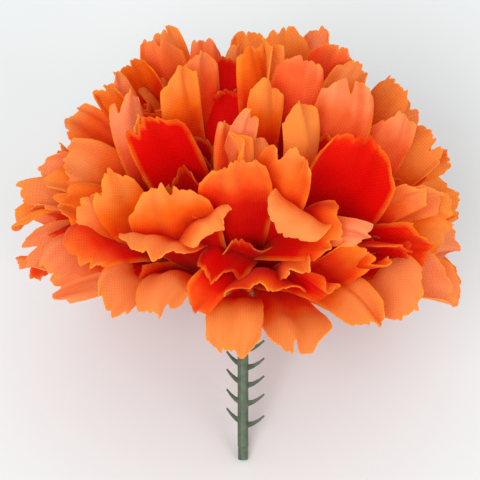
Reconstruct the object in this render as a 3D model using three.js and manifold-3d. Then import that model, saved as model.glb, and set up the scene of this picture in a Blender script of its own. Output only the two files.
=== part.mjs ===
// Artificial carnation head on its short barbed peg, lying on a table.
//
// The flower is built upright in its own frame, in millimetres: the peg's cut end at the origin,
// +Z up the peg, the front of the flower towards -Y. Azimuth is counted from the front, positive
// towards +X. The whole flower is then leaned back until the peg's end and the rim of the back
// petals rest on the table.

import * as THREE from 'three';
import Module from 'manifold-3d';
import { mergeVertices } from 'three/addons/utils/BufferGeometryUtils.js';

const wasm = await Module();
wasm.setup();

// Driving dimensions
const LEAN_DEG = 42.3;
const FLOOR_BITE = 0.15;
const TIP_PRESS = 0.7;

const PEG_RADIUS = 1.1;
const PEG_FOOT_RADIUS = 1.02;
const PEG_FOOT_HEIGHT = 2.5;
const PEG_HEIGHT = 45.6;
const PEG_TIP_CHAMFER = 0.4;
const PEG_SIDES = 16;

const BARB_REACH = 3.2;
const BARB_RISE = 1.9;
const BARB_ROOT_TALL = 1.3;
const BARB_ROOT_THICK = 1.0;
const BARB_TIP_SHARE = 0.28;
const BARB_SIDES = 6;
const RIGHT_BARBS = { azimuth: 90, heights: [7.2, 11.7, 15.5, 19.2, 22.9] };
const LEFT_BARBS = { azimuth: -130, heights: [8.0, 12.0, 16.2, 19.9, 23.4] };

const GAP = 0.3;
const CALYX_FOOT = 29.0;
const CALYX_FOOT_RADIUS = 1.9;
const CALYX_RIM_RADIUS = 4.4;
const CALYX_RIM_THICKNESS = 0.5;
const SEPALS = 5;
const SEPAL_REACH = 1.6;
const CALYX_SIDES = 30;

const CLOTH = 0.6;
const DISC_BASE = 37.0;
const DISC_PITCH = 1.0;
const LOWEST_HUB_RADIUS = 9.0;
const HUB_RADIUS_STEP = 0.5;
const HUB_SIDES = 14;
const HUB_THICKNESS = 0.7;
const ROOT_SINK = 1.0;
const ROOT_RUN = 6.0;
const LOBE_RUN = 15.0;
const CLAW = 0.1;
const CLEARANCE = 0.4;
const HUB_CLEARANCE = 0.12;
const SLIVER = 0.15;
const CORNER_SHIFT = 0.03;

const CAP_RADIUS = 2.3;
const CAP_CROWN_RADIUS = 1.6;
const CAP_ROOF = 1.2;
const CAP_SIDES = 16;

const PETAL_COLORS = ['#f0591d', '#ea4412'];

// How far the stiffened petals here follow the folds of the real cloth.
const CUP_KEPT = 0.8;
const WAVE_KEPT = 0.8;

// The tips of the front petals lie about a dome. Its radius, and its middle as seen by someone
// who looks at the flower from its front, a little from above: height over the peg's end and
// depth towards them.
const VIEW_HEIGHT_DEG = 12;
const DOME_RADIUS = 44.0;
const DOME_HEIGHT = 44.5;
const DOME_DEPTH = 9.5;

const radians = THREE.MathUtils.degToRad;
const ease = (x) => x * x * (3 - 2 * x);
const clip = (x, low = 0, high = 1) => Math.min(high, Math.max(low, x));

// The petals of the front, disc by disc from the lowest, placed by hand as seen from there: the
// middle of the tip, to the right of the peg and over its end, and how far it stands out of the
// dome; the way that it points, clockwise from up, and how far it leans out of the picture; its
// roll away from being seen flat; its width; and its cup, positive where it opens to the front.
const FRONT_PETALS = [
  [
    [-2.2, 22.6, 0, 184, 15, 5, 11.5, 10],
    [10.7, 21.3, 1, 176, 15, 0, 14.5, 5],
    [25.4, 28, 0, 146, 5, 0, 10, -10],
    [32.6, 30.4, 0, 148, 0, 0, 16, -10],
    [40.2, 33.1, 0, 118, -5, -10, 14.5, 0],
    [43.9, 41.7, 0, 105, -10, 20, 11, -20],
    [-16.4, 29.9, 0, 186, 10, 0, 10.8, -15],
    [-25.8, 30.7, 0, 202, 5, 0, 10.8, -10],
    [-36.6, 33.7, 0, 242, -5, 15, 9.5, -10],
    [-41.2, 36.2, 0, 182, -10, 10, 6, 0],
    [-10.6, 33.1, -2, 225, 10, 30, 7.5, 30],
    [16.7, 34.3, -2, 120, 10, 40, 6.5, 10],
  ],
  [
    [-41.6, 40.6, 0, 238, -10, 5, 11, 0],
    [-37.4, 38, 1, 215, 0, 0, 11, -25],
    [-31.1, 39.2, 1, 202, 10, 5, 14.5, -40],
    [3.9, 33.6, -2, 178, 42, 0, 20, -62],
    [12.4, 36.5, -2, 150, 42, 0, 11, -70],
    [23.2, 40.6, -1, 72, 30, 50, 10, 20],
    [35.8, 42.1, 0, 100, 10, 10, 11.5, -10],
    [27, 43.3, -2, 60, 30, 40, 8, -60],
    [-38.2, 47.6, -3, 260, 0, 40, 9.5, 0],
    [-5.7, 39.4, -5, 210, 40, 20, 11.5, 10],
    [21.7, 43.5, -6, 110, 40, 30, 13, 20],
  ],
  [
    [-17.7, 40, 3, 187, 20, 0, 15, -25],
    [-41.8, 49.8, 0, 242, 0, 35, 9, 0],
    [-41.4, 46.1, 0, 200, -5, 50, 6.5, 0],
    [-35.2, 52.2, 0, 278, 5, 10, 11.5, 10],
    [-5.7, 46.1, 3, 138, 10, 15, 11, -20],
    [8.1, 45.9, 3, 212, 10, -10, 13.5, 10],
    [17.9, 45.3, 2, 120, 10, 0, 13.5, -20],
    [22.8, 44.3, 1, 118, 10, 20, 6.5, 0],
    [41.3, 46.9, 0, 108, -5, 10, 14.5, -10],
    [31.9, 45.5, -2, 75, 20, 60, 11.5, 40],
    [-40.2, 58.1, 0, 272, 0, 5, 11, 0],
    [-38.4, 55.1, 0, 265, 0, 10, 10, 0],
    [-10.8, 45.5, -8, 180, 30, 0, 11.5, 10],
  ],
  [
    [-15.2, 55.1, 2, -8, 0, 0, 17.5, -10],
    [-31.7, 52.2, 1, 298, 10, 0, 10, 10],
    [-26.8, 56.9, 0, -25, 0, 10, 10.5, -10],
    [-34.5, 59.7, 0, 278, 5, 0, 12.5, 0],
    [-2, 59.5, 2, -3, 5, 0, 15, -15],
    [10.2, 61.6, 2, 28, 10, -15, 13, -25],
    [43.6, 53.2, 0, 78, -5, 0, 13.5, 0],
    [34.7, 55.5, 0, 62, 10, 45, 9, 10],
    [39.2, 52.6, 0, 85, 5, 45, 9, 0],
    [3.5, 52.5, -15, 0, 0, 0, 24, 15],
  ],
  [
    [-34.1, 68.9, 0, 298, 0, 5, 13, 10],
    [-18.8, 68, -3, -32, 5, 0, 13, 45],
    [-21.8, 67.8, 1, -14, 8, 40, 5, 0],
    [23.8, 65, 0, 18, 8, 0, 20, 32],
    [30.3, 69.1, 0, 12, 0, 10, 11, -40],
    [11.5, 70.9, 2, -12, 5, 35, 10, -38],
    [14.8, 66.3, -8, 10, 10, 10, 10, 60],
    [-0.2, 64.2, 2.5, 0, 25, 60, 6.5, 0],
    [-0.8, 66, 1, 12, 5, 25, 7, 0],
    [2.9, 63.2, 1, 8, 5, 15, 8, 0],
    [41.3, 61.2, 0, 80, 0, 10, 7, 0],
    [38, 65.2, 0, 58, 0, 0, 12.5, 0],
  ],
  [
    [-23.8, 73, 1, -12, 5, 35, 11, -80],
    [-13.2, 77.6, 1, -8, 0, 20, 8.5, -35],
    [-7.3, 81.1, 0, 5, 5, 25, 11, -60],
    [5.6, 75, 1, 10, 0, 20, 8, -25],
    [3, 82.3, 0, 0, 0, 45, 9, 10],
    [20.5, 75.4, 2, 3, 5, 0, 13.5, -15],
    [-2, 80.3, -8, -2, 0, 0, 16.5, 30],
    [-6, 73.5, -8, -5, 0, 0, 20, 25],
    [-22.8, 79.7, -12, -28, 0, 0, 13.5, 10],
    [-28.7, 73.8, -4, 310, 0, 10, 7.5, 0],
    [31.1, 75.6, 0, 42, 0, 0, 13.5, 0],
  ],
  [
    [-26, 77.2, -2, -25, 0, 30, 6.5, 0],
    [-17.5, 84.7, -4, -15, 0, 0, 11, 0],
    [11.8, 79.7, 1, 14, 5, 0, 11, -30],
    [2.4, 68, 3, 30, 15, 30, 7, 0],
    [8.5, 81.7, 1, 20, 10, 50, 6.5, 60],
    [19.1, 83.1, -4, 30, 0, 0, 11, 10],
    [24, 78.6, -2, 38, 0, 0, 12.5, 0],
    [-8.1, 84.5, -4, 0, 0, 0, 11.5, 0],
  ],
  [
    [-16.8, 87.2, -6, -22, 0, 20, 8, 20],
    [1.4, 86.2, -12, -5, 0, 0, 10, 0],
    [8.3, 87, -8, 0, 0, 0, 10.5, 15],
    [14, 87.4, -8, 6, 0, 10, 7.5, 0],
  ],
];

// The other petals of each disc follow a rule: first and last azimuth from the front, how many,
// and the middle values of the tip's height angle, its bend, its reach and its width.
const RULED_PETALS = [
  [97, 263, 6, -3, -16, 44.5, 16],
  [106, 262, 7, 12, -22, 44.5, 15],
  [102, 256, 7, 24, -20, 44, 15],
  [112, 258, 6, 35, -16, 44, 15],
  [110, 256, 5, 44, -14, 43, 16],
  [125, 245, 4, 56, -10, 42.5, 17],
  [135, 230, 3, 66, -6, 41, 17],
  [150, 215, 2, 76, 0, 39, 15],
];

// Seeded draws, the same on every run.
function draws(seed) {
  let state = seed;
  return (low = 0, high = 1) => {
    state = (state * 1664525 + 1013904223) % 4294967296;
    return low + ((high - low) * state) / 4294967296;
  };
}

// A closed three.js geometry as a solid, and back.
function solidOf(geometry) {
  const plain = geometry.clone();
  plain.deleteAttribute('normal');
  plain.deleteAttribute('uv');
  const merged = mergeVertices(plain, 1e-5);
  const mesh = new wasm.Mesh({
    numProp: 3,
    vertProperties: new Float32Array(merged.attributes.position.array),
    triVerts: new Uint32Array(merged.index.array),
  });
  return new wasm.Manifold(mesh);
}

function geometryOf(solid) {
  const mesh = solid.getMesh();
  const geometry = new THREE.BufferGeometry();
  geometry.setAttribute('position', new THREE.BufferAttribute(mesh.vertProperties, 3));
  geometry.setIndex(new THREE.BufferAttribute(mesh.triVerts, 1));
  geometry.computeVertexNormals();
  return geometry;
}

// A profile of [radius, height] points turned round the peg's axis.
function turned(profile, sides) {
  const points = profile.map(([radius, height]) => new THREE.Vector2(radius, height));
  const geometry = new THREE.LatheGeometry(points, sides);
  geometry.rotateX(Math.PI / 2);
  return geometry;
}

// The part of space under the table's top, in the flower's frame.
function underTable() {
  const block = new THREE.BoxGeometry(400, 400, 100);
  block.translate(0, 0, -50);
  block.applyMatrix4(placement().invert());
  return solidOf(block);
}

// Where the leaned flower stands: the lowest edge of the peg's end bites into the table.
function placement() {
  const lean = radians(LEAN_DEG);
  const lift = PEG_FOOT_RADIUS * Math.sin(lean) - FLOOR_BITE;
  return new THREE.Matrix4().makeTranslation(0, 0, lift)
    .multiply(new THREE.Matrix4().makeRotationX(-lean));
}

// Height of a point of the upright flower above the table once it is leaned.
function heightAboveTable(point) {
  return point.clone().applyMatrix4(placement()).z;
}

// A vector of the flower given to the right, up and nearer as seen from the front.
function seen(right, up, near) {
  const s = Math.sin(radians(VIEW_HEIGHT_DEG));
  const c = Math.cos(radians(VIEW_HEIGHT_DEG));
  return new THREE.Vector3(right, up * s - near * c, up * c + near * s);
}

// The unit vector at an azimuth from the front and an angle over the level.
function outward(azimuth, heightAngle) {
  const a = radians(azimuth);
  const e = radians(heightAngle);
  return new THREE.Vector3(Math.cos(e) * Math.sin(a), -Math.cos(e) * Math.cos(a), Math.sin(e));
}

// Tip, pointing and crosswise direction of a petal placed by hand.
function placedPetal([right, up, proud, heading, lean, roll, width, cup]) {
  const inside = DOME_RADIUS ** 2 - right ** 2 - (up - DOME_HEIGHT) ** 2;
  const depth = DOME_DEPTH + Math.sqrt(Math.max(0, inside)) + proud;
  const h = radians(heading);
  const n = radians(lean);
  const along = seen(Math.cos(n) * Math.sin(h), Math.cos(n) * Math.cos(h), Math.sin(n));
  const across = seen(Math.cos(h), -Math.sin(h), 0).applyAxisAngle(along, radians(roll));
  return { tip: seen(right, up, depth), along, across, width, cup };
}

// Tip, pointing and crosswise direction of a petal that follows the rule, raised until its tip
// is no further under the table than cloth would be pressed.
function ruledPetal(disc, azimuth, heightAngle, bend, reach, width, twist, cup) {
  const hub = new THREE.Vector3(0, 0, DISC_BASE + DISC_PITCH * disc);
  let angle = heightAngle;
  let tip = hub.clone().addScaledVector(outward(azimuth, angle), reach);
  while (heightAboveTable(tip) < -TIP_PRESS) {
    angle += 0.2;
    tip = hub.clone().addScaledVector(outward(azimuth, angle), reach);
  }
  const along = outward(azimuth, angle + bend);
  const across = outward(azimuth + 90, 0).applyAxisAngle(along, radians(twist));
  return { tip, along, across, width, cup, pressed: angle > heightAngle };
}

// The petals of one disc, with what is drawn for each.
function petalsOf(disc) {
  const petals = FRONT_PETALS[disc].map(placedPetal);
  const draw = draws(5000 + disc);
  const [first, last, count, heightAngle, bend, reach, width] = RULED_PETALS[disc];
  for (let k = 0; k < count; k += 1) {
    petals.push(ruledPetal(
      disc,
      first + ((last - first) * k) / (count - 1) + draw(-4, 4),
      heightAngle + draw(-3, 3),
      bend + draw(-25, 15),
      reach + draw(-2, 1.5),
      width + draw(-1.5, 1.5),
      draw(-35, 35),
      draw(-40, 30),
    ));
  }
  petals.forEach((petal, index) => shapePetal(petal, disc, index));
  return petals;
}

// Adds to a petal what is drawn for it, and its middle line from the hub.
function shapePetal(petal, disc, index) {
  const draw = draws(1000 + 137 * disc + 7919 * index);
  draw();
  draw();
  petal.wave = draw(18, 50) * Math.max(0.15, 1 - Math.abs(petal.cup) / 40);
  petal.waves = draw(1.1, 2.2);
  petal.phase = draw(0, 2 * Math.PI);
  petal.round = (draw(0.05, 0.13) * petal.width) / 16;
  petal.skew = draw(-0.03, 0.03);
  petal.buckle = draw(0, 1.1);
  petal.buckleAt = draw();
  petal.curl = draw(1, 6) * (draw() > 0.4 ? 1 : -1) * (petal.pressed ? 0 : 1);

  const start = petal.tip.clone().addScaledVector(petal.along, -LOBE_RUN);
  const azimuth = THREE.MathUtils.radToDeg(Math.atan2(start.x, -start.y));
  const way = outward(azimuth, 0);
  const root = way.clone().multiplyScalar(LOWEST_HUB_RADIUS - HUB_RADIUS_STEP * disc - ROOT_SINK);
  root.z = DISC_BASE + DISC_PITCH * disc;
  petal.line = new THREE.CubicBezierCurve3(root, root.clone().addScaledVector(way, ROOT_RUN), start, petal.tip);
  petal.length = petal.line.getLength();
  petal.rootAcross = outward(azimuth + 90, 0);
  if (petal.across.dot(petal.rootAcross) < 0) petal.across.negate();
  if (petal.along.clone().cross(petal.across).dot(seen(0, 0, 1)) < 0) petal.cup = -petal.cup;
}

// The petal's middle line at s: the point, and the directions across the cloth and out of its
// upper face. The line leaves the hub level and ends at the tip as the tip points.
function middleLine(petal, s) {
  const along = petal.line.getTangent(s);
  const share = ease(clip(s / 0.75));
  const across = petal.rootAcross.clone().lerp(petal.across, share);
  across.addScaledVector(along, -across.dot(along)).normalize();
  const upper = along.clone().cross(across);
  const swell = petal.buckle * Math.sin(2 * Math.PI * (1.4 * s + petal.buckleAt)) * ease(clip(2 * s))
    + petal.curl * clip((s - 0.6) / 0.4) ** 2;
  return { point: petal.line.getPoint(s).addScaledVector(upper, swell), across, upper };
}

// Rows across the petal, from the root to the pinked end: how far out, and how many points.
const PETAL_ROWS = [[0, 2], [0.22, 2], [0.46, 3], [0.72, 4], [1, 5]];
const TOOTH_DEPTH = 1.3;

// One point of the petal's sheet at s along and v across, from -1 to 1.
function sheetPoint(petal, s, v) {
  const { point, across, upper } = middleLine(petal, s);
  const fan = CLAW + (1 - CLAW) * ease(clip(s / 0.84));
  const half = (petal.width / 2) * fan * (1 - 0.2 * clip((s - 0.86) / 0.14) ** 2);
  const steps = 12;
  for (let k = 0; k < steps; k += 1) {
    const w = (v * (k + 0.5)) / steps;
    const slope = radians(CUP_KEPT * petal.cup) * w * ease(clip(s * 1.3))
      + radians(WAVE_KEPT * petal.wave) * Math.cos(Math.PI * petal.waves * w + petal.phase) * s ** 1.5;
    point.addScaledVector(across, (Math.cos(slope) * half * v) / steps);
    point.addScaledVector(upper, (Math.sin(slope) * half * v) / steps);
  }
  return point;
}

// Triangles between two rows of points, the same way on both faces of the cloth.
function strip(near, far) {
  const triangles = [];
  let i = 0;
  let j = 0;
  while (i < near.count - 1 || j < far.count - 1) {
    const nextNear = (i + 1) / (near.count - 1);
    const nextFar = (j + 1) / (far.count - 1);
    if (j === far.count - 1 || (i < near.count - 1 && nextNear <= nextFar)) {
      triangles.push([near.first + i, near.first + i + 1, far.first + j]);
      i += 1;
    } else {
      triangles.push([near.first + i, far.first + j + 1, far.first + j]);
      j += 1;
    }
  }
  return triangles;
}

// A petal as a closed sheet of the given thickness, grown at its edges by the given margin.
function petalSolid(petal, thickness, margin = 0) {
  const points = [];
  const rows = [];
  for (const [along, count] of PETAL_ROWS) {
    const row = { first: points.length, count };
    rows.push(row);
    for (let k = 0; k < count; k += 1) {
      const v = (2 * k) / (count - 1) - 1;
      const valley = along === 1 ? k % 2 : 0;
      const end = 1 - petal.round * Math.abs(v) ** 2.4 - petal.skew * v
        - (TOOTH_DEPTH / petal.length) * valley;
      points.push(sheetPoint(petal, along * end, v));
    }
  }
  const faces = [];
  for (let k = 0; k < rows.length - 1; k += 1) faces.push(...strip(rows[k], rows[k + 1]));

  const normals = points.map(() => new THREE.Vector3());
  for (const [a, b, c] of faces) {
    const normal = new THREE.Vector3().crossVectors(
      points[b].clone().sub(points[a]),
      points[c].clone().sub(points[a]),
    );
    for (const corner of [a, b, c]) normals[corner].add(normal);
  }
  for (const { first, count } of rows) {
    const across = points[first + count - 1].clone().sub(points[first]).normalize();
    points[first].addScaledVector(across, -margin);
    points[first + count - 1].addScaledVector(across, margin);
  }
  const tip = rows[rows.length - 1];
  for (let k = 0; k < tip.count; k += 1) {
    points[tip.first + k].addScaledVector(petal.along, margin);
  }
  const count = points.length;
  const vertices = [];
  for (const side of [0.5, -0.5]) {
    points.forEach((point, k) => {
      const moved = point.clone().addScaledVector(normals[k].normalize(), thickness * side);
      vertices.push(moved.x, moved.y, moved.z);
    });
  }
  const last = rows.length - 1;
  const rim = [
    ...Array.from({ length: rows[0].count }, (_, k) => rows[0].first + k),
    ...rows.slice(1, last).map((row) => row.first + row.count - 1),
    ...Array.from({ length: rows[last].count }, (_, k) => rows[last].first + rows[last].count - 1 - k),
    ...rows.slice(1, last).reverse().map((row) => row.first),
  ];
  const triangles = [];
  for (const [a, b, c] of faces) triangles.push(a, b, c, c + count, b + count, a + count);
  rim.forEach((a, k) => {
    const b = rim[(k + 1) % rim.length];
    triangles.push(a, a + count, b, b, a + count, b + count);
  });
  const geometry = new THREE.BufferGeometry();
  geometry.setAttribute('position', new THREE.Float32BufferAttribute(vertices, 3));
  geometry.setIndex(triangles);
  return solidOf(geometry);
}

// The flat middle of a disc of cloth, with the hole for the peg.
function hubSolid(disc, thickness, margin = 0) {
  const outer = LOWEST_HUB_RADIUS - HUB_RADIUS_STEP * disc + margin;
  const inner = PEG_RADIUS + GAP;
  const height = DISC_BASE + DISC_PITCH * disc;
  return solidOf(turned([
    [inner, height - thickness / 2],
    [outer, height - thickness / 2],
    [outer, height + thickness / 2],
    [inner, height + thickness / 2],
    [inner, height - thickness / 2],
  ], HUB_SIDES));
}

function largestPiece(solid) {
  return solid.decompose().sort((a, b) => b.volume() - a.volume())[0];
}

// The solid with its slivers merged away. Where two of its corners come to lie in one place, the
// second is drawn a little towards its neighbours, so that the surface doesn't touch itself.
function withoutSlivers(solid) {
  const mesh = largestPiece(solid.asOriginal().simplify(SLIVER)).getMesh();
  const corners = mesh.vertProperties;
  const corner = (k) => new THREE.Vector3().fromArray(corners, 3 * k);
  const ways = Array.from({ length: corners.length / 3 }, () => new THREE.Vector3());
  for (let k = 0; k < mesh.triVerts.length; k += 3) {
    const [a, b, c] = mesh.triVerts.slice(k, k + 3);
    for (const [one, two] of [[a, b], [b, c], [c, a]]) ways[one].add(corner(two)).sub(corner(one));
  }
  const places = new Set();
  ways.forEach((way, k) => {
    const place = corner(k).toArray().map((value) => value.toFixed(2)).join();
    if (places.has(place)) corner(k).addScaledVector(way.normalize(), CORNER_SHIFT).toArray(corners, 3 * k);
    places.add(place);
  });
  return new wasm.Manifold(mesh);
}

// The piece of a cut petal that still holds to its disc: the one that comes nearest its root.
function rootedPiece(solid, petal) {
  let rooted = solid;
  let nearest = Infinity;
  for (const piece of solid.decompose()) {
    const corners = piece.getMesh().vertProperties;
    for (let k = 0; k < corners.length; k += 3) {
      const distance = Math.hypot(...petal.line.v0.toArray().map((value, axis) => value - corners[k + axis]));
      if (distance < nearest) {
        nearest = distance;
        rooted = piece;
      }
    }
  }
  return rooted;
}

// A solid worked out at once, as joins and cuts that wait for each other fill the memory.
function settled(solid) {
  solid.numTri();
  return solid;
}

// A solid less each of the given ones.
function cutBack(solid, others) {
  return others.reduce((left, other) => settled(left.subtract(other)), solid);
}

// The stack of cloth discs, from the lowest. Each disc is one body: its hub and all its petals.
// The petals are laid in from the nearest to the viewer to the furthest, and a petal that would
// touch one of another disc that is already there is cut back, so that a gap is left.
function petalLayers() {
  const table = underTable();
  const cap = capSolid(GAP);
  const layers = FRONT_PETALS.map((_, disc) => hubSolid(disc, HUB_THICKNESS));
  const rooms = layers.map((_, disc) => hubSolid(disc, HUB_THICKNESS + 2 * HUB_CLEARANCE, HUB_CLEARANCE));
  const petals = FRONT_PETALS.flatMap((_, disc) => petalsOf(disc).map((petal) => ({ ...petal, disc })));
  petals.sort((a, b) => b.tip.dot(seen(0, 0, 1)) - a.tip.dot(seen(0, 0, 1)));
  for (const petal of petals) {
    const { disc } = petal;
    const others = [cap, ...rooms.filter((_, k) => k !== disc)];
    const cloth = rootedPiece(cutBack(petalSolid(petal, CLOTH), others), petal);
    layers[disc] = settled(layers[disc].add(cloth));
    rooms[disc] = settled(rooms[disc].add(petalSolid(petal, CLOTH + 2 * CLEARANCE, CLEARANCE)));
  }
  return layers.map((layer) => withoutSlivers(layer.subtract(table)));
}

// The moulded peg: a round rod with a slightly smaller foot, that runs up through the calyx and
// the discs, and two rows of barbs that hold it in the hollow stalk it is made to be pushed into.
function pegSolid() {
  let peg = solidOf(turned([
    [0, 0],
    [PEG_FOOT_RADIUS, 0],
    [PEG_FOOT_RADIUS, PEG_FOOT_HEIGHT],
    [PEG_RADIUS, PEG_FOOT_HEIGHT + GAP],
    [PEG_RADIUS, PEG_HEIGHT - PEG_TIP_CHAMFER],
    [PEG_RADIUS - PEG_TIP_CHAMFER, PEG_HEIGHT],
    [0, PEG_HEIGHT],
  ], PEG_SIDES));
  for (const row of [RIGHT_BARBS, LEFT_BARBS]) {
    for (const height of row.heights) peg = peg.add(barbSolid(row.azimuth, height));
  }
  return peg.subtract(underTable());
}

// A point at an azimuth from the front: out from the axis, sideways and up.
function around(azimuth, out, side, up) {
  return outward(azimuth, 0).multiplyScalar(out)
    .addScaledVector(outward(azimuth + 90, 0), side)
    .setZ(up);
}

// One barb: a flattened spike that leaves the peg nearly level and then curves up.
function barbSolid(azimuth, height) {
  const stations = [-0.7, 0, 0.3, 0.65, 1];
  const vertices = [];
  for (const station of stations) {
    const s = Math.max(0, station);
    const size = 1 - (1 - BARB_TIP_SHARE) * s ** 0.8;
    const out = PEG_RADIUS + BARB_REACH * (station < 0 ? station * 0.25 : station);
    const up = height + BARB_RISE * s ** 1.6;
    for (let k = 0; k < BARB_SIDES; k += 1) {
      const turn = (2 * Math.PI * k) / BARB_SIDES;
      const side = (Math.cos(turn) * BARB_ROOT_THICK * size) / 2;
      const rise = (Math.sin(turn) * BARB_ROOT_TALL * size) / 2;
      const point = around(azimuth, out - rise * 0.6 * s, side, up + rise);
      vertices.push(point.x, point.y, point.z);
    }
  }
  const triangles = [];
  for (let row = 0; row < stations.length - 1; row += 1) {
    for (let k = 0; k < BARB_SIDES; k += 1) {
      const a = row * BARB_SIDES + k;
      const b = row * BARB_SIDES + ((k + 1) % BARB_SIDES);
      triangles.push(a, b, b + BARB_SIDES, a, b + BARB_SIDES, a + BARB_SIDES);
    }
  }
  const end = (stations.length - 1) * BARB_SIDES;
  for (let k = 1; k < BARB_SIDES - 1; k += 1) {
    triangles.push(0, k + 1, k, end, end + k, end + k + 1);
  }
  const geometry = new THREE.BufferGeometry();
  geometry.setAttribute('position', new THREE.Float32BufferAttribute(vertices, 3));
  geometry.setIndex(triangles);
  return solidOf(geometry);
}

// The moulded calyx: a small cup with five blunt sepals, bored for the peg, that carries the
// lowest disc on its flat top.
function calyxSolid() {
  const seat = DISC_BASE - HUB_THICKNESS / 2 - GAP;
  const bore = PEG_RADIUS + GAP;
  const geometry = turned([
    [bore, CALYX_FOOT],
    [CALYX_FOOT_RADIUS, CALYX_FOOT],
    [CALYX_FOOT_RADIUS + 0.3, CALYX_FOOT + 1.5],
    [CALYX_RIM_RADIUS - 1, CALYX_FOOT + 4],
    [CALYX_RIM_RADIUS, seat - CALYX_RIM_THICKNESS],
    [CALYX_RIM_RADIUS, seat],
    [bore, seat],
    [bore, CALYX_FOOT],
  ], CALYX_SIDES);
  const position = geometry.attributes.position;
  for (let k = 0; k < position.count; k += 1) {
    const x = position.getX(k);
    const y = position.getY(k);
    const radius = Math.hypot(x, y);
    if (radius > CALYX_RIM_RADIUS - 0.1) {
      const spread = 1 + (SEPAL_REACH * (0.5 + 0.5 * Math.cos(SEPALS * Math.atan2(y, x)))) / radius;
      position.setXY(k, x * spread, y * spread);
    }
  }
  return solidOf(geometry);
}

// The button that is pressed on the peg's top and holds the discs down, grown outside by the
// given margin where only its room is wanted.
function capSolid(margin = 0) {
  const foot = DISC_BASE + DISC_PITCH * (FRONT_PETALS.length - 1) + HUB_THICKNESS / 2 + GAP;
  const socket = PEG_RADIUS + GAP;
  const roof = PEG_HEIGHT + GAP;
  return solidOf(turned([
    [0, roof],
    [socket, roof],
    [socket, foot],
    [CAP_RADIUS + margin, foot],
    [CAP_RADIUS + margin, roof + CAP_ROOF / 2],
    [CAP_CROWN_RADIUS + margin, roof + CAP_ROOF + margin],
    [0, roof + CAP_ROOF + margin],
  ], CAP_SIDES));
}

function pieceMesh(name, solid, color, roughness) {
  const material = new THREE.MeshStandardMaterial({ color, roughness, metalness: 0 });
  const mesh = new THREE.Mesh(geometryOf(solid), material);
  mesh.name = name;
  return mesh;
}

const flower = new THREE.Group();
flower.add(pieceMesh('stem', pegSolid(), '#56664f', 0.5));
flower.add(pieceMesh('calyx', calyxSolid(), '#5d6f52', 0.5));
petalLayers().forEach((layer, disc) => {
  flower.add(pieceMesh(`petal_layer_${disc + 1}`, layer, PETAL_COLORS[disc % 2], 0.8));
});
flower.add(pieceMesh('retaining_cap', capSolid(), '#56664f', 0.5));
flower.applyMatrix4(placement());

// The origin is under the middle of the leaned flower, on the table.
const extent = new THREE.Box3().setFromObject(flower, true);
const middle = extent.getCenter(new THREE.Vector3());
flower.position.x -= middle.x;
flower.position.y -= middle.y;

const part = new THREE.Group();
part.add(flower);
part.updateMatrixWorld(true);
export default part;
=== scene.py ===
import math

import bpy
import numpy as np
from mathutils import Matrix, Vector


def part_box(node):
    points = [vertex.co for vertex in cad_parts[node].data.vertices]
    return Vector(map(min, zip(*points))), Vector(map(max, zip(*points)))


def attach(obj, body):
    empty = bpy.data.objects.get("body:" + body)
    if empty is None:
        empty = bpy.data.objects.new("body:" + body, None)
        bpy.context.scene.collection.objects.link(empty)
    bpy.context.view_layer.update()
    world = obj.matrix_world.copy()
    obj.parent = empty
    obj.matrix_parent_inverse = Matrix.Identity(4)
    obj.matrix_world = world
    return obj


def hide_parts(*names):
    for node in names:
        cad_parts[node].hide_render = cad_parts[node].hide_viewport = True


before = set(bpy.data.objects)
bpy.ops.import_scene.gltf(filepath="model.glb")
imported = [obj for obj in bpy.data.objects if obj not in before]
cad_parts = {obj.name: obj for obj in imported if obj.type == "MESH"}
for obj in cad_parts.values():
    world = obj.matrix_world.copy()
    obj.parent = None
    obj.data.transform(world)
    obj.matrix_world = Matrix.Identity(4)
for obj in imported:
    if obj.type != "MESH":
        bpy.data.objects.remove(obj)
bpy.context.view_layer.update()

# ---------------------------------------------------------------------------------------------
# The lie of the flower. It was made upright, with the cut end of the peg at its origin, +Z up
# the peg and its front towards -Y, and leans back until the peg's end and the back petals rest
# on the table. Sizes are in millimetres until a mesh is made.
LEAN = math.radians(42.3)
PEG_FOOT_RADIUS = 1.02
FLOOR_BITE = 0.15
LIFT = PEG_FOOT_RADIUS * math.sin(LEAN) - FLOOR_BITE
MM = 0.001

peg_low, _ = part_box("stem")
cap_low, cap_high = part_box("retaining_cap")
SHIFT_X = (cap_low.x + cap_high.x) / 2 / MM
SHIFT_Y = peg_low.y / MM + PEG_FOOT_RADIUS * math.cos(LEAN)


def leaned(points):
    """Points of the upright flower, in mm, turned back about X by LEAN and set on the table."""
    x, y, z = points[..., 0], points[..., 1], points[..., 2]
    c, s = math.cos(LEAN), math.sin(LEAN)
    return np.stack([x + SHIFT_X, y * c + z * s + SHIFT_Y, z * c - y * s + LIFT], axis=-1)


# ---------------------------------------------------------------------------------------------
# The camera looks down on the lying flower, 12 degrees above the plane of its petals, so that
# the peg points straight down the picture.
CAMERA_ABOVE_PETALS = math.radians(12)
CAMERA_DISTANCE = 700
PIXEL = 0.2032
PICTURE = 480
PEG_END_PIXEL = (243, 459)
SENSOR = 36

camera_tilt = math.pi / 2 - LEAN - CAMERA_ABOVE_PETALS
towards = np.array([0, -math.sin(camera_tilt), math.cos(camera_tilt)])
picture_up = np.array([0, math.cos(camera_tilt), math.sin(camera_tilt)])
aim = leaned(np.zeros(3)) + picture_up * (PEG_END_PIXEL[1] - PICTURE / 2) * PIXEL
aim = aim + np.array([PICTURE / 2 - PEG_END_PIXEL[0], 0, 0]) * PIXEL

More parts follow.
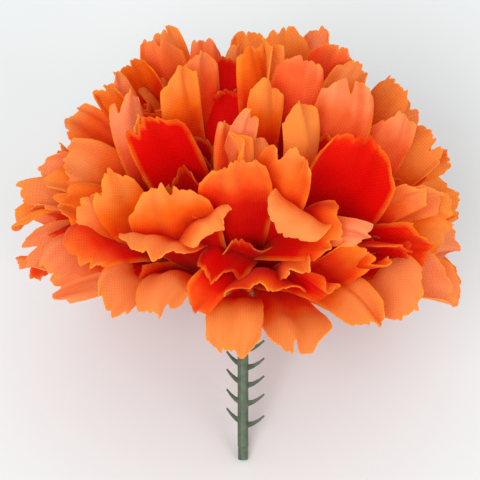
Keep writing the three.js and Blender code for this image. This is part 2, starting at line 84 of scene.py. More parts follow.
camera_data = bpy.data.cameras.new("camera")
camera_data.sensor_width = SENSOR
camera_data.lens = SENSOR * CAMERA_DISTANCE / (PICTURE * PIXEL)
camera = bpy.data.objects.new("camera", camera_data)
camera.location = ((aim + towards * CAMERA_DISTANCE) * MM).tolist()
camera.rotation_euler = (camera_tilt, 0, 0)
bpy.context.scene.collection.objects.link(camera)
bpy.context.scene.camera = camera

# ---------------------------------------------------------------------------------------------
# The petals. Eight discs of thin woven polyester are die-cut into petals with pinked, scalloped
# edges, dyed from deep red at the middle to orange at the rim, pressed hot into folds and
# threaded on the peg one above the other.
# The hubs of the discs: their places on the peg, from the lowest, and their sizes.
DISC_BASE = 37.0
DISC_PITCH = 1.0
LOWEST_HUB_RADIUS = 9.0
HUB_RADIUS_STEP = 0.5
HUB_HOLE_RADIUS = 1.4
HUB_THICKNESS = 0.7

# The cloth of the petals, the teeth of its edge, and how far it may be pressed into the table.
CLOTH = 0.26
TOOTH_PITCH = 1.6
TOOTH_DEPTH = 0.48
TIP_PRESS = 0.7

# A petal starts ROOT_SINK inside its hub, CLAW of its width wide. The curve that it follows has
# a handle of ROOT_RUN, level, at the hub and one of LOBE_RUN at the tip.
ROOT_SINK = 1.0
ROOT_RUN = 6.0
LOBE_RUN = 15.0
CLAW = 0.1

# The steps of its mesh along and across, of the sum for its length and of the sum across it.
ROWS = 30
COLUMNS = 48
LENGTH_STEPS = 60
SLOPE_STEPS = 16

# Shares of a petal's length, from the hub out: where its fan is widest, where its round end
# begins, and where its side teeth and its lip begin.
FAN_FULL = 0.84
END_START = 0.86
SIDE_TEETH_START = 0.6
LIP_START = 0.74
# Shares of its half width: where its sides begin to roll, and how wide a notch and a pleat are.
ROLL_START = 0.45
NOTCH_WIDTH = 0.12
PLEAT_WIDTH = 0.1
# A cup this deep, in degrees, holds the cloth so taut that only SLACK_IN_CUP of its waves is left.
TAUT_CUP = 40
SLACK_IN_CUP = 0.15
# The width of petal that the draws for its round end are meant for.
WIDTH_AS_DRAWN = 16
# Edges that turn by more than this are sharp.
SHARP_DEGREES = 50

# How deep the red is at the hubs and how much is added in the inner petals, how far the hubs take
# the salmon orange that is partly pink dye and partly painted sheen, and how far they are taken to
# be from the cut edge.
HUB_DYE = 1.0
INNER_RED = 0.6
HUB_PINK_DYE_AND_SHEEN = 0.5
HUB_TO_RIM = 9.0

RULED_SEED = 5000
INNER_SEED = 6000
PETAL_SEED = 1000

# The tips of the front petals lie about a dome. Its radius, and its middle as seen by someone who
# looks at the flower from its front, CAMERA_ABOVE_PETALS up: height over the peg's end and depth
# towards them.
DOME_RADIUS = 44.0
DOME_HEIGHT = 44.5
DOME_DEPTH = 9.5

# The petals of the front, disc by disc from the lowest, placed one by one as seen from there: the
# middle of the tip, to the right of the peg and over its end, and how far it stands out of the
# dome; the way that it points, clockwise from up, and how far it leans out of the picture; its
# roll away from being seen flat; its width; its cup, positive where it opens to the front; how
# far out its red reaches and how pink its orange is, from 0 to 1.
# The pink column mixes in a paler salmon orange: partly the pink dye of some petals, partly painted sheen,
# the pale shine where light catches the cloth.
FRONT_PETALS = [
    [
        (-2.2, 22.6, 0, 184, 15, 5, 11.5, 10, 0, 0.2),
        (10.7, 21.3, 1, 176, 15, 0, 14.5, 5, 0, 0.3),
        (25.4, 28.0, 0, 146, 5, 0, 10, -10, 0.1, 0.2),
        (32.6, 30.4, 0, 148, 0, 0, 16, -10, 0, 0.5),
        (40.2, 33.1, 0, 118, -5, -10, 14.5, 0, 0, 0.8),
        (43.9, 41.7, 0, 105, -10, 20, 11, -20, 0, 0.8),
        (-16.4, 29.9, 0, 186, 10, 0, 10.8, -15, 0, 0.4),
        (-25.8, 30.7, 0, 202, 5, 0, 10.8, -10, 0.05, 0.5),
        (-36.6, 33.7, 0, 242, -5, 15, 9.5, -10, 0, 0.7),
        (-41.2, 36.2, 0, 182, -10, 10, 6, 0, 0.6, 0.5),
        (-10.6, 33.1, -2, 225, 10, 30, 7.5, 30, 0.6, 0.3),
        (16.7, 34.3, -2, 120, 10, 40, 6.5, 10, 0.7, 0.2),
    ],
    [
        (-41.6, 40.6, 0, 238, -10, 5, 11, 0, 0.2, 0.8),
        (-37.4, 38.0, 1, 215, 0, 0, 11, -25, 0.25, 0.8),
        (-31.1, 39.2, 1, 202, 10, 5, 14.5, -40, 0.55, 0.5),
        (3.9, 33.6, -2, 178, 42, 0, 20, -62, 0.6, 0.0),
        (12.4, 36.5, -2, 150, 42, 0, 11, -70, 0.45, 0.1),
        (23.2, 40.6, -1, 72, 30, 50, 10, 20, 0.5, 0.1),
        (35.8, 42.1, 0, 100, 10, 10, 11.5, -10, 0.7, 0.1),
        (27.0, 43.3, -2, 60, 30, 40, 8, -60, 0.6, 0.1),
        (-38.2, 47.6, -3, 260, 0, 40, 9.5, 0, 0.8, 0.3),
        (-5.7, 39.4, -5, 210, 40, 20, 11.5, 10, 0.9, 0.4),
        (21.7, 43.5, -6, 110, 40, 30, 13, 20, 0.95, 0.2),
    ],
    [
        (-17.7, 40.0, 3, 187, 20, 0, 15, -25, 0.2, 0.2),
        (-41.8, 49.8, 0, 242, 0, 35, 9, 0, 0.25, 0.5),
        (-41.4, 46.1, 0, 200, -5, 50, 6.5, 0, 0.35, 0.1),
        (-35.2, 52.2, 0, 278, 5, 10, 11.5, 10, 0.45, 0.1),
        (-5.7, 46.1, 3, 138, 10, 15, 11, -20, 0.1, 0.1),
        (8.1, 45.9, 3, 212, 10, -10, 13.5, 10, 0.2, 0.3),
        (17.9, 45.3, 2, 120, 10, 0, 13.5, -20, 0.5, 0.2),
        (22.8, 44.3, 1, 118, 10, 20, 6.5, 0, 0.3, 0.9),
        (41.3, 46.9, 0, 108, -5, 10, 14.5, -10, 0.3, 0.0),
        (31.9, 45.5, -2, 75, 20, 60, 11.5, 40, 0.8, 0.6),
        (-40.2, 58.1, 0, 272, 0, 5, 11, 0, 0.3, 0.8),
        (-38.4, 55.1, 0, 265, 0, 10, 10, 0, 0.35, 0.0),
        (-10.8, 45.5, -8, 180, 30, 0, 11.5, 10, 1.0, 0.2),
    ],
    [
        (-15.2, 55.1, 2, -8, 0, 0, 17.5, -10, 0.35, 0.1),
        (-31.7, 52.2, 1, 298, 10, 0, 10, 10, 0.3, 0.3),
        (-26.8, 56.9, 0, -25, 0, 10, 10.5, -10, 0.3, 0.0),
        (-34.5, 59.7, 0, 278, 5, 0, 12.5, 0, 0.3, 0.4),
        (-2.0, 59.5, 2, -3, 5, 0, 15, -15, 0.5, 0.4),
        (10.2, 61.6, 2, 28, 10, -15, 13, -25, 0.4, 0.2),
        (43.6, 53.2, 0, 78, -5, 0, 13.5, 0, 0.1, 0.0),
        (34.7, 55.5, 0, 62, 10, 45, 9, 10, 0.35, 0.4),
        (39.2, 52.6, 0, 85, 5, 45, 9, 0, 0.3, 0.5),
        (3.5, 52.5, -15, 0, 0, 0, 24, 15, 1.0, 0.0),
    ],
    [
        (-34.1, 68.9, 0, 298, 0, 5, 13, 10, 0.4, 0.4),
        (-18.8, 68.0, -3, -32, 5, 0, 13, 45, 0.9, 0.1),
        (-21.8, 67.8, 1, -14, 8, 40, 5, 0, 0.0, 0.0),
        (23.8, 65.0, 0, 18, 8, 0, 20, 32, 0.78, 0.0),
        (30.3, 69.1, 0, 12, 0, 10, 11, -40, 0.35, 0.8),
        (11.5, 70.9, 2, -12, 5, 35, 10, -38, 0.1, 0.0),
        (14.8, 66.3, -8, 10, 10, 10, 10, 60, 0.8, 0.0),
        (-0.2, 64.2, 2.5, 0, 25, 60, 6.5, 0, 0.0, 0.0),
        (-0.8, 66.0, 1, 12, 5, 25, 7, 0, 0.4, 0.6),
        (2.9, 63.2, 1, 8, 5, 15, 8, 0, 0.45, 0.5),
        (41.3, 61.2, 0, 80, 0, 10, 7, 0, 0.3, 0.0),
        (38.0, 65.2, 0, 58, 0, 0, 12.5, 0, 0.2, 0.1),
    ],
    [
        (-23.8, 73.0, 1, -12, 5, 35, 11, -80, 0.2, 1.0),
        (-13.2, 77.6, 1, -8, 0, 20, 8.5, -35, 0.3, 0.0),
        (-7.3, 81.1, 0, 5, 5, 25, 11, -60, 0.4, 0.6),
        (5.6, 75.0, 1, 10, 0, 20, 8, -25, 0.3, 0.0),
        (3.0, 82.3, 0, 0, 0, 45, 9, 10, 0.45, 0.0),
        (20.5, 75.4, 2, 3, 5, 0, 13.5, -15, 0.3, 0.8),
        (-2.0, 80.3, -8, -2, 0, 0, 16.5, 30, 0.95, 0.0),
        (-6.0, 73.5, -8, -5, 0, 0, 20, 25, 1.0, 0.0),
        (-22.8, 79.7, -12, -28, 0, 0, 13.5, 10, 0.5, 0.0),
        (-28.7, 73.8, -4, 310, 0, 10, 7.5, 0, 0.4, 0.0),
        (31.1, 75.6, 0, 42, 0, 0, 13.5, 0, 0.25, 0.1),
    ],
    [
        (-26.0, 77.2, -2, -25, 0, 30, 6.5, 0, 0.3, 0.8),
        (-17.5, 84.7, -4, -15, 0, 0, 11, 0, 0.4, 0.6),
        (11.8, 79.7, 1, 14, 5, 0, 11, -30, 0.45, 0.9),
        (2.4, 68.0, 3, 30, 15, 30, 7, 0, 0.2, 0.9),
        (8.5, 81.7, 1, 20, 10, 50, 6.5, 60, 0.2, 0.0),
        (19.1, 83.1, -4, 30, 0, 0, 11, 10, 0.5, 0.8),
        (24.0, 78.6, -2, 38, 0, 0, 12.5, 0, 0.3, 0.3),
        (-8.1, 84.5, -4, 0, 0, 0, 11.5, 0, 0.45, 0.8),
    ],
    [
        (-16.8, 87.2, -6, -22, 0, 20, 8, 20, 0.3, 0.3),
        (1.4, 86.2, -12, -5, 0, 0, 10, 0, 0.3, 0.0),
        (8.3, 87.0, -8, 0, 0, 0, 10.5, 15, 0.3, 0.1),
        (14.0, 87.4, -8, 6, 0, 10, 7.5, 0, 0.3, 0.9),
    ],
]

# The other full petals of each disc follow a rule: first and last azimuth from the front, how
# many, and the middle values of the tip's height angle, its bend, its reach and its width.
RULED_PETALS = [
    (97, 263, 6, -3, -16, 44.5, 16),
    (106, 262, 7, 12, -22, 44.5, 15),
    (102, 256, 7, 24, -20, 44, 15),
    (112, 258, 6, 35, -16, 44, 15),
    (110, 256, 5, 44, -14, 43, 16),
    (125, 245, 4, 56, -10, 42.5, 17),
    (135, 230, 3, 66, -6, 41, 17),
    (150, 215, 2, 76, 0, 39, 15),
]

# The short red petals between them, by the same rule.
INNER_PETALS = [
    (-40, 50, 2, 6, -10, 34, 13),
    (0, 50, 2, 14, -10, 35, 13),
    (-60, 60, 3, 25, -5, 36, 14),
    (-65, 75, 4, 36, 0, 36, 14),
    (-70, 70, 5, 47, 0, 36, 14),
    (-70, 75, 5, 58, 0, 37, 14),
    (-60, 60, 4, 68, 0, 37, 14),
    (-30, 60, 2, 80, 0, 36, 14),
]


def draws(seed):
    """Seeded draws, the same on every run."""
    state = [seed]

    def draw(low=0.0, high=1.0):
        state[0] = (state[0] * 1664525 + 1013904223) % 4294967296
        return low + (high - low) * state[0] / 4294967296

    return draw


def ease(x):
    """0 to 1 with a soft start and end."""
    x = np.clip(x, 0, 1)
    return x * x * (3 - 2 * x)


def unit(vector):
    """Vectors at length 1."""
    return vector / (np.linalg.norm(vector, axis=-1, keepdims=True) + 1e-9)


def seen(right, up, near):
    """A vector of the flower given to the right, up and nearer as seen from the front."""
    s, c = math.sin(CAMERA_ABOVE_PETALS), math.cos(CAMERA_ABOVE_PETALS)
    return np.array([right, up * s - near * c, up * c + near * s])


def outward(azimuth, height_angle):
    """The unit vector at an azimuth from the front and an angle over the level."""
    a, e = math.radians(azimuth), math.radians(height_angle)
    return np.array([math.cos(e) * math.sin(a), -math.cos(e) * math.cos(a), math.sin(e)])


def rolled(across, along, degrees):
    """A vector at right angles to another, turned about it."""
    r = math.radians(degrees)
    return math.cos(r) * across + math.sin(r) * np.cross(along, across)


def placed_petal(row):
    """Tip, pointing and crosswise direction of a petal placed one by one."""
    right, up, proud, heading, lean, roll, width, cup, red, pinkness_and_sheen = row
    depth = DOME_DEPTH + math.sqrt(max(0, DOME_RADIUS ** 2 - right ** 2 - (up - DOME_HEIGHT) ** 2)) + proud
    h, n = math.radians(heading), math.radians(lean)
    along = seen(math.cos(n) * math.sin(h), math.cos(n) * math.cos(h), math.sin(n))
    across = rolled(seen(math.cos(h), -math.sin(h), 0), along, roll)
    return {"tip": seen(right, up, depth), "along": along, "across": across, "width": width, "cup": cup,
            "dye": red, "pink_dye_and_sheen": pinkness_and_sheen}


def ruled_petal(disc, azimuth, height_angle, bend, reach, width, twist, cup):
    """Tip, pointing and crosswise direction of a petal that follows the rule, raised until its
    tip is no further under the table than cloth would be pressed."""
    pressed = False
    while True:
        tip = np.array([0, 0, DISC_BASE + DISC_PITCH * disc]) + reach * outward(azimuth, height_angle)
        if leaned(tip)[2] >= -TIP_PRESS:
            break
        height_angle += 0.2
        pressed = True
    along = outward(azimuth, height_angle + bend)
    across = rolled(outward(azimuth + 90, 0), along, twist)
    return {"tip": tip, "along": along, "across": across, "width": width, "cup": cup, "pressed": pressed}


def petals_of(disc):
    """The petals of one disc, with what is drawn for each."""
    petals = [placed_petal(row) for row in FRONT_PETALS[disc]]
    for rule, seed, deeper in ((RULED_PETALS[disc], RULED_SEED, 0),
                               (INNER_PETALS[disc], INNER_SEED, INNER_RED)):
        draw = draws(seed + disc)
        first, last, count, height_angle, bend, reach, width = rule
        for k in range(count):
            petal = ruled_petal(
                disc, first + (last - first) * k / (count - 1) + draw(-4, 4), height_angle + draw(-3, 3),
                bend + draw(-25, 15), reach + draw(-2, 1.5), width + draw(-1.5, 1.5),
                draw(-35, 35), draw(-40, 30))
            petal["deeper"] = deeper
            petals.append(petal)
    for index, petal in enumerate(petals):
        shape_petal(petal, disc, index)
    return petals


def shape_petal(petal, disc, index):
    """Adds to a petal what is drawn for it, and its middle line from the hub. Angles are in
    degrees, lengths in mm, and places across it from -1 to 1."""
    draw = draws(PETAL_SEED + 137 * disc + 7919 * index)
    # The first draws of seeds this close are nearly alike, so two are passed over.
    draw()
    draw()
    slack = max(SLACK_IN_CUP, 1 - abs(petal["cup"]) / TAUT_CUP)
    petal["wave"] = draw(18, 50) * slack
    petal["waves"] = draw(1.1, 2.2)
    petal["phase"] = draw(0, 2 * math.pi)
    petal["round"] = draw(0.05, 0.13) * petal["width"] / WIDTH_AS_DRAWN
    petal["skew"] = draw(-0.03, 0.03)
    petal["buckle"] = draw(0, 1.1)
    petal["buckle_at"] = draw()
    petal["curl"] = draw(1, 6) * (1 if draw() > 0.4 else -1) * (0 if petal.get("pressed") else 1)
    petal["pleat"] = draw() ** 2 * 60 * (1 if draw() > 0.5 else -1) * slack
    petal["pleat_at"] = draw(-0.45, 0.45)
    petal["flutter"] = draw(15, 42)
    petal["roll_right"] = draw() ** 2 * 110 * (1 if draw() > 0.4 else -1) * slack
    petal["roll_left"] = draw() ** 2 * 110 * (1 if draw() > 0.4 else -1) * slack
    petal["notch"] = draw() ** 3 * 3
    petal["notch_at"] = draw(-0.6, 0.6)
    petal["tooth_at"] = draw()
    petal["lip"] = draw(0.8, 2.4)
    if "dye" not in petal:
        petal["dye"] = draw(0.2, 0.6) + petal["deeper"]
        petal["pink_dye_and_sheen"] = draw()
    start = petal["tip"] - LOBE_RUN * petal["along"]
    azimuth = math.degrees(math.atan2(start[0], -start[1]))
    root_way = outward(azimuth, 0)
    root = root_way * (LOWEST_HUB_RADIUS - HUB_RADIUS_STEP * disc - ROOT_SINK)
    root[2] = DISC_BASE + DISC_PITCH * disc
    petal["line"] = np.array([root, root + ROOT_RUN * root_way, start, petal["tip"]])
    petal["root_across"] = outward(azimuth + 90, 0)
    if petal["across"] @ petal["root_across"] < 0:
        petal["across"] = -petal["across"]
    if np.cross(petal["along"], petal["across"]) @ seen(0, 0, 1) < 0:
        petal["cup"] = -petal["cup"]
    line, _, _ = middle_line(petal, np.linspace(0, 1, LENGTH_STEPS))
    petal["length"] = float(np.linalg.norm(np.diff(line, axis=0), axis=1).sum())


def middle_line(petal, s):
    """The petal's middle line, a cubic curve that leaves the hub level and ends at the tip as the
    tip points, with the directions along it, across the cloth and out of its upper face."""
    s = np.asarray(s)[..., None]
    a, b, c, d = petal["line"]
    point = a * (1 - s) ** 3 + 3 * b * s * (1 - s) ** 2 + 3 * c * s * s * (1 - s) + d * s ** 3
    along = unit((b - a) * (1 - s) ** 2 + 2 * (c - b) * s * (1 - s) + (d - c) * s * s)
    share = ease(s / 0.75)
    across = (1 - share) * petal["root_across"] + share * petal["across"]
    across = unit(across - along * (along * across).sum(axis=-1, keepdims=True))
    upper = np.cross(along, across)
    swell = petal["buckle"] * np.sin(2 * math.pi * (1.4 * s + petal["buckle_at"])) * ease(s * 2)
    swell = swell + petal["curl"] * np.clip((s - 0.6) / 0.4, 0, 1) ** 2
    return point + swell * upper, across, upper


def scallop(x):
    """0 on the crown of each pinked tooth and 1 in the notch between two."""
    return 1 - np.abs(np.sin(math.pi * x)) ** 0.6


def cut_end(petal, v):
    """Where the petal's far edge is cut at each place across it, as a share of its length: a
    rounded, slightly slanting end with pinked teeth of uneven depth, a notch and fine bites."""
    width, tooth_at = petal["width"], petal["tooth_at"]
    teeth = scallop(v * width / 2 / TOOTH_PITCH + tooth_at)
    depth = TOOTH_DEPTH * (1 + 0.55 * np.sin(3.1 * v + tooth_at * 9) + 0.3 * np.sin(9 * v + petal["phase"]))
    bite = petal["notch"] * np.exp(-(((v - petal["notch_at"]) / NOTCH_WIDTH) ** 2))
    bite = bite + 0.4 * (1 + np.sin(0.5 * width * v + 5 * tooth_at))
    bite = bite + 0.2 * (1 + np.sin(1.1 * width * v + petal["phase"]))
    round_end = 1 - petal["round"] * np.abs(v) ** 2.4 - petal["skew"] * v
    return round_end + (0.6 - teeth * depth - bite) / petal["length"]


def cross_slope(petal, w, s):
    """How steeply the cloth stands off its middle line at w across and s along it, in radians:
    its cup, a wave that grows outwards, a finer flutter at the rim, a pleat and a roll of each
    side edge."""
    half_turns = math.pi * petal["waves"] * w
    flutter_turns = half_turns * 1.7 + 2 * petal["phase"] + 3 * s
    right = np.clip((w - ROLL_START) / (1 - ROLL_START), 0, 1) ** 1.5
    left = np.clip((-w - ROLL_START) / (1 - ROLL_START), 0, 1) ** 1.5
    degrees = petal["cup"] * w * ease(1.3 * s)
    degrees = degrees + petal["wave"] * np.cos(half_turns + petal["phase"]) * s ** 1.5
    degrees = degrees + petal["flutter"] * np.cos(flutter_turns) * s ** 4
    pleat = np.tanh((w - petal["pleat_at"]) / PLEAT_WIDTH) * ease((s - 0.25) / 0.6)
    degrees = degrees + petal["pleat"] * pleat
    degrees = degrees + (petal["roll_right"] * right - petal["roll_left"] * left) * s
    return np.radians(degrees)


def petal_grid(petal):
    """A petal's sheet as a function of u, along, and v, across: its points, the same points in
    the flat cloth, how far out they are and how far from the cut edge. The cloth's slope is
    added up across it, its lip is pressed to and fro, and it is laid along the middle line."""
    u = np.linspace(0, 1, ROWS + 1)[:, None]
    v = np.linspace(-1, 1, COLUMNS + 1)[None, :]
    length, width, tooth_at = petal["length"], petal["width"], petal["tooth_at"]
    end = cut_end(petal, v)
    s = u * end
    fan = CLAW + (1 - CLAW) * ease(s / FAN_FULL)
    half = width / 2 * fan * (1 - 0.2 * np.clip((s - END_START) / (1 - END_START), 0, 1) ** 2)
    side_teeth = scallop(s * length / TOOTH_PITCH + tooth_at) * ease((s - SIDE_TEETH_START) / 0.3)
    cut_half = half - 0.6 * TOOTH_DEPTH * side_teeth
    x = v * cut_half / half
    w = x[..., None] * (np.arange(SLOPE_STEPS) + 0.5) / SLOPE_STEPS
    slope = cross_slope(petal, w, s[..., None])
    across = (np.cos(slope).mean(axis=-1) * half * x)[..., None]
    off = (np.sin(slope).mean(axis=-1) * half * x)[..., None]
    lip = petal["lip"] * np.sin(math.pi * (1.3 * v + tooth_at * 2 + 0.4 * v * v))
    off = off + (lip * np.clip((s - LIP_START) / (1 - LIP_START), 0, None) ** 2)[..., None]
    point, sideways, upper = middle_line(petal, s)
    root_radius = np.hypot(*petal["line"][0][:2])
    way = petal["line"][0][:2] / root_radius
    side_way = np.array([-way[1], way[0]])
    flat = way * (root_radius + s * length)[..., None] + side_way * (x * half)[..., None]
    rim = np.minimum((1 - u) * length * end, cut_half * (1 - np.abs(v)))
    return point + across * sideways + off * upper, flat, s, rim


def closed_sheet(points, thickness):
    """Vertices and quads of a sheet given as a grid of points, with half its thickness on each
    side along the grid's normals, and a rim that joins the two faces."""
    normal = np.cross(np.gradient(points, axis=0), np.gradient(points, axis=1))
    normal = normal / (np.linalg.norm(normal, axis=-1, keepdims=True) + 1e-9)
    rows, columns = points.shape[:2]
    vertices = np.concatenate([(points - normal * thickness / 2).reshape(-1, 3),
                               (points + normal * thickness / 2).reshape(-1, 3)])
    grid = np.arange(rows * columns).reshape(rows, columns)
    a, b, c, d = grid[:-1, :-1], grid[1:, :-1], grid[1:, 1:], grid[:-1, 1:]
    upper = np.stack([a, d, c, b], axis=-1).reshape(-1, 4)
    lower = np.stack([a, b, c, d], axis=-1).reshape(-1, 4) + rows * columns
    ring = np.concatenate([grid[0, :], grid[1:, -1], grid[-1, -2::-1], grid[-2:0:-1, 0]])
    onward = np.roll(ring, -1)
    rim = np.stack([ring, ring + rows * columns, onward + rows * columns, onward], axis=-1)
    return vertices, np.concatenate([upper, lower, rim])


def linear(hex_colour):
    """An sRGB hex colour as linear RGBA."""
    parts = [int(hex_colour[i:i + 2], 16) / 255 for i in (1, 3, 5)]
    return [p / 12.92 if p <= 0.04045 else ((p + 0.055) / 1.055) ** 2.4 for p in parts] + [1]


def add(tree, kind, inputs=None, **settings):
    """Adds a node with its settings; inputs are values or the sockets that they come from."""
    made = tree.nodes.new(kind)
    for name, value in settings.items():
        setattr(made, name, value)
    for name, value in (inputs or {}).items():
        if isinstance(value, bpy.types.NodeSocket):
            tree.links.new(value, made.inputs[name])
        else:
            made.inputs[name].default_value = value
    return made


def new_material(name):
    material = bpy.data.materials.new(name)
    material.use_nodes = True
    material.node_tree.nodes.clear()
    return material, material.node_tree


# Woven polyester, dyed in the piece and pressed: matt, with the soft sheen of its threads, a fine
# weave that shows, a paler cut edge, and light that comes through it. The pale yellow of the cut
# edge is partly painted glow of light through it, and the salmon orange of some petals is partly
# painted sheen.
THREAD_PITCH = 0.5
# The bands a unit that Blender's wave texture makes at a scale of 1.
BANDS_AT_SCALE_1 = 10 / math.pi
EDGE_WIDTH = 1.1
cloth, tree = new_material("woven_polyester_petal")
along = add(tree, "ShaderNodeAttribute", attribute_name="along").outputs["Fac"]
rim = add(tree, "ShaderNodeAttribute", attribute_name="rim").outputs["Fac"]
dye = add(tree, "ShaderNodeAttribute", attribute_name="dye").outputs["Fac"]
pink_dye_and_sheen = add(tree, "ShaderNodeAttribute", attribute_name="pink_dye_and_sheen").outputs["Fac"]
flat = add(tree, "ShaderNodeUVMap", uv_map="cloth_mm").outputs["UV"]
cloud = add(tree, "ShaderNodeTexNoise", {"Vector": flat, "Scale": 0.16, "Detail": 3.0}).outputs["Fac"]

# From the deep red of the root to the orange of the rim: further out with less dye, unevenly.
shift = add(tree, "ShaderNodeMath", {0: dye, 1: -0.55, 2: along}, operation="MULTIPLY_ADD").outputs[0]
shift = add(tree, "ShaderNodeMath", {0: cloud, 1: 0.20, 2: shift}, operation="MULTIPLY_ADD").outputs[0]
shift = add(tree, "ShaderNodeMapRange", {"Value": shift, "From Min": 0.50, "From Max": 0.88}).outputs[0]
orange = add(tree, "ShaderNodeValToRGB", {"Fac": shift})
salmon_dye_and_painted_sheen = add(tree, "ShaderNodeValToRGB", {"Fac": shift})
for ramp, colours in ((orange, ("#ea0500", "#ea1800", "#f24a04", "#f78216", "#faa64c")),
                      (salmon_dye_and_painted_sheen, ("#ea0500", "#ec220a", "#f45020", "#f98246", "#fcac78"))):
    stops = ramp.color_ramp.elements
    stops[0].color, stops[1].color = linear(colours[0]), linear(colours[-1])
    for position, colour in zip((0.25, 0.48, 0.74), colours[1:-1]):
        stops.new(position).color = linear(colour)
# Petals with more pink take the paler salmon ramp: partly pink dye, partly painted sheen that stands in for
# light catching the cloth.
dye_with_painted_sheen = add(tree, "ShaderNodeMix", {"Factor": pink_dye_and_sheen, 6: orange.outputs[0], 7: salmon_dye_and_painted_sheen.outputs[0]},
           data_type="RGBA").outputs[2]

# Along the cut edge the colour turns pale yellow, here more and there less: partly the cut edge
# took less dye, partly painted glow of light coming through the thin edge of the cloth.
at_edge = add(tree, "ShaderNodeMapRange", {"Value": rim, "From Min": 0.1, "From Max": EDGE_WIDTH,
              "To Min": 0.55, "To Max": 0.0}).outputs[0]
uneven = add(tree, "ShaderNodeMapRange", {"Value": cloud, "From Min": 0.38, "From Max": 0.6,
             "To Min": 0.2}).outputs[0]
pale_edge_and_painted_glow = add(tree, "ShaderNodeMath", {0: at_edge, 1: uneven}, operation="MULTIPLY").outputs[0]
edge_with_painted_glow = add(tree, "ShaderNodeMix", {"Factor": pale_edge_and_painted_glow, 6: dye_with_painted_sheen, 7: linear("#ffb432")},
            data_type="RGBA").outputs[2]

# Warp and weft lie in the flat cloth, so they run another way in each petal of a disc.
warp, weft = (add(tree, "ShaderNodeTexWave", {
    "Vector": flat, "Scale": 1 / (BANDS_AT_SCALE_1 * THREAD_PITCH), "Distortion": 0.6, "Detail": 1.0},
    wave_type="BANDS", bands_direction=way).outputs["Fac"] for way in ("X", "Y"))
weave = add(tree, "ShaderNodeMath", {0: warp, 1: weft}, operation="MULTIPLY").outputs[0]
threads = add(tree, "ShaderNodeMapRange", {"Value": weave, "To Min": 0.93, "To Max": 1.12}).outputs[0]
woven = add(tree, "ShaderNodeVectorMath", {0: edge_with_painted_glow, "Scale": threads}, operation="SCALE").outputs[0]
bump = add(tree, "ShaderNodeBump", {"Strength": 0.25, "Distance": 0.0002, "Height": weave}).outputs[0]
surface = add(tree, "ShaderNodeBsdfPrincipled", {
    "Base Color": woven, "Roughness": 0.75, "Specular IOR Level": 0.12, "Sheen Weight": 0.10,
    "Sheen Roughness": 0.4, "Sheen Tint": linear("#ffd0ac"), "Normal": bump})
through = add(tree, "ShaderNodeBsdfTranslucent", {"Color": woven, "Normal": bump})
mixed = add(tree, "ShaderNodeMixShader", {0: 0.55, 1: surface.outputs[0], 2: through.outputs[0]})
add(tree, "ShaderNodeOutputMaterial", {"Surface": mixed.outputs[0]})


def hub_grid(disc):
    """The flat middle of a disc, as the outline of its ring carried round the peg."""
    outer = LOWEST_HUB_RADIUS - HUB_RADIUS_STEP * disc
    height = DISC_BASE + DISC_PITCH * disc
    turn = np.linspace(0, 2 * math.pi, 37)[:, None]
    radius = np.array([HUB_HOLE_RADIUS, outer, outer, HUB_HOLE_RADIUS, HUB_HOLE_RADIUS])[None, :]
    up = height + HUB_THICKNESS / 2 * np.array([-1, -1, 1, 1, -1])[None, :] + 0 * turn
    return np.stack([radius * np.sin(turn), -radius * np.cos(turn), up], axis=-1)


def closed_ring(points):
    """Vertices and quads of a grid whose last row and column repeat the first."""
    rows, columns = points.shape[0] - 1, points.shape[1] - 1
    grid = np.arange(rows * columns).reshape(rows, columns)
    right, down = np.roll(grid, -1, axis=1), np.roll(grid, -1, axis=0)
    faces = np.stack([grid, right, np.roll(down, -1, axis=1), down], axis=-1).reshape(-1, 4)
    return points[:-1, :-1].reshape(-1, 3), faces


def smooth_mesh(name, points, faces):
    """A mesh in metres, at its place on the table, smooth but for its sharp edges. Cloth that
    would be pressed under the table lies on it."""
    mesh = bpy.data.meshes.new(name)
    points = leaned(points)
    points[:, 2] = np.maximum(points[:, 2], 0)
    mesh.from_pydata((points * MM).tolist(), [], faces.tolist())
    mesh.polygons.foreach_set("use_smooth", np.ones(len(mesh.polygons), bool))
    mesh.set_sharp_from_angle(angle=math.radians(SHARP_DEGREES))
    made = bpy.data.objects.new(name, mesh)
    bpy.context.scene.collection.objects.link(made)
    return made


def disc_cloth(disc):
    """One disc's hub and petals as closed meshes: vertices, faces, the same points in the flat
    cloth, and what the colour at each goes by; also the area of the flat cloth."""
    vertices, faces = closed_ring(hub_grid(disc))
    count = len(vertices)
    parts = [(vertices, faces, vertices[:, :2], np.zeros(count), np.full(count, HUB_TO_RIM),
              np.full(count, HUB_DYE), np.full(count, HUB_PINK_DYE_AND_SHEEN))]
    area = math.pi * (LOWEST_HUB_RADIUS - HUB_RADIUS_STEP * disc) ** 2
    for petal in petals_of(disc):
        points, flat, s, to_rim = petal_grid(petal)
        vertices, faces = closed_sheet(points, CLOTH)
        count = len(vertices)
        parts.append((vertices, faces, np.tile(flat.reshape(-1, 2), (2, 1)), np.tile(s.ravel(), 2),
                      np.tile(to_rim.ravel(), 2), np.full(count, petal["dye"]),
                      np.full(count, petal["pink_dye_and_sheen"])))
        falling, rising = flat[1:, :-1] - flat[:-1, 1:], flat[1:, 1:] - flat[:-1, :-1]
        area += np.abs(falling[..., 0] * rising[..., 1] - falling[..., 1] * rising[..., 0]).sum() / 2
    starts = np.cumsum([0] + [len(part[0]) for part in parts])
    numbered = np.concatenate([part[1] + start for part, start in zip(parts, starts)])
    vertices, _, flat, *values = (np.concatenate(column) for column in zip(*parts))
    return vertices, numbered, flat, dict(zip(("along", "rim", "dye", "pink_dye_and_sheen"), values)), area


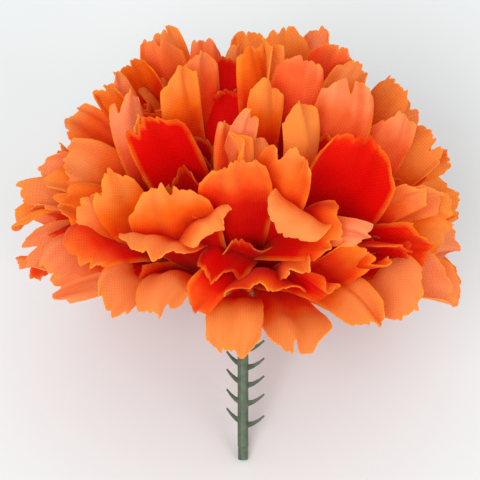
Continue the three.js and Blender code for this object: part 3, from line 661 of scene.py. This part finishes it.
for disc in range(len(FRONT_PETALS)):
    vertices, faces, cut, colour_values, cloth_area = disc_cloth(disc)
    layer = smooth_mesh(f"petal_cloth_{disc + 1}", vertices, faces)
    corner = np.zeros(len(layer.data.loops), np.int32)
    layer.data.loops.foreach_get("vertex_index", corner)
    cloth_map = layer.data.uv_layers.new(name="cloth_mm")
    cloth_map.data.foreach_set("uv", cut[corner].astype(np.float32).ravel())
    for name, values in colour_values.items():
        attribute = layer.data.attributes.new(name, "FLOAT", "POINT")
        attribute.data.foreach_set("value", values.astype(np.float32))
    layer.data.materials.append(cloth)
    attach(layer, "root")
    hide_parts(f"petal_layer_{disc + 1}")

# ---------------------------------------------------------------------------------------------
# The green plastic. Peg, calyx and cap are injection moulded in soft green polyethylene.
plastic, tree = new_material("moulded_green_polyethylene")
place = add(tree, "ShaderNodeTexCoord").outputs["Object"]
mottle = add(tree, "ShaderNodeTexNoise", {"Vector": place, "Scale": 900.0, "Detail": 4.0}).outputs["Fac"]
green = add(tree, "ShaderNodeValToRGB", {"Fac": mottle})
green.color_ramp.elements[0].position, green.color_ramp.elements[0].color = 0.35, linear("#34432e")
green.color_ramp.elements[1].position, green.color_ramp.elements[1].color = 0.70, linear("#4a5b41")
bump = add(tree, "ShaderNodeBump", {"Strength": 0.2, "Distance": 0.0001, "Height": mottle}).outputs[0]
surface = add(tree, "ShaderNodeBsdfPrincipled", {"Base Color": green.outputs[0], "Roughness": 0.42,
              "IOR": 1.51, "Normal": bump})
add(tree, "ShaderNodeOutputMaterial", {"Surface": surface.outputs[0]})
for name in ("stem", "calyx", "retaining_cap"):
    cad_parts[name].data.materials.clear()
    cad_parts[name].data.materials.append(plastic)

# ---------------------------------------------------------------------------------------------
# The table and the light: a plain pale floor under soft studio light.
FLOOR_REACH = 3
corners = [(x * FLOOR_REACH, y * FLOOR_REACH, 0) for x, y in ((-1, -1), (1, -1), (1, 1), (-1, 1))]
floor_mesh = bpy.data.meshes.new("floor")
floor_mesh.from_pydata(corners, [], [(0, 1, 2, 3)])
floor = bpy.data.objects.new("floor", floor_mesh)
bpy.context.scene.collection.objects.link(floor)
paper, tree = new_material("pale_matt_board")
surface = add(tree, "ShaderNodeBsdfPrincipled", {"Base Color": linear("#ced2d2"), "Roughness": 0.95,
              "Specular IOR Level": 0.0})
add(tree, "ShaderNodeOutputMaterial", {"Surface": surface.outputs[0]})
floor_mesh.materials.append(paper)

world = bpy.data.worlds.new("soft_white_room")
world.use_nodes = True
world.node_tree.nodes["Background"].inputs["Color"].default_value = (1, 1, 1, 1)
world.node_tree.nodes["Background"].inputs["Strength"].default_value = 1.00
bpy.context.scene.world = world
for name, position, size, power in (("key_softbox", (-700, -1700, 1900), 1300, 44.0),
                                    ("fill_softbox", (1500, -1500, 1200), 1300, 16.0)):
    light = bpy.data.lights.new(name, "AREA")
    light.size = size * MM
    light.energy = power
    lamp = bpy.data.objects.new(name, light)
    lamp.location = [value * MM for value in position]
    lamp.rotation_euler = (-lamp.location).to_track_quat("-Z", "Y").to_euler()
    bpy.context.scene.collection.objects.link(lamp)
bpy.context.scene.view_settings.view_transform = "Standard"
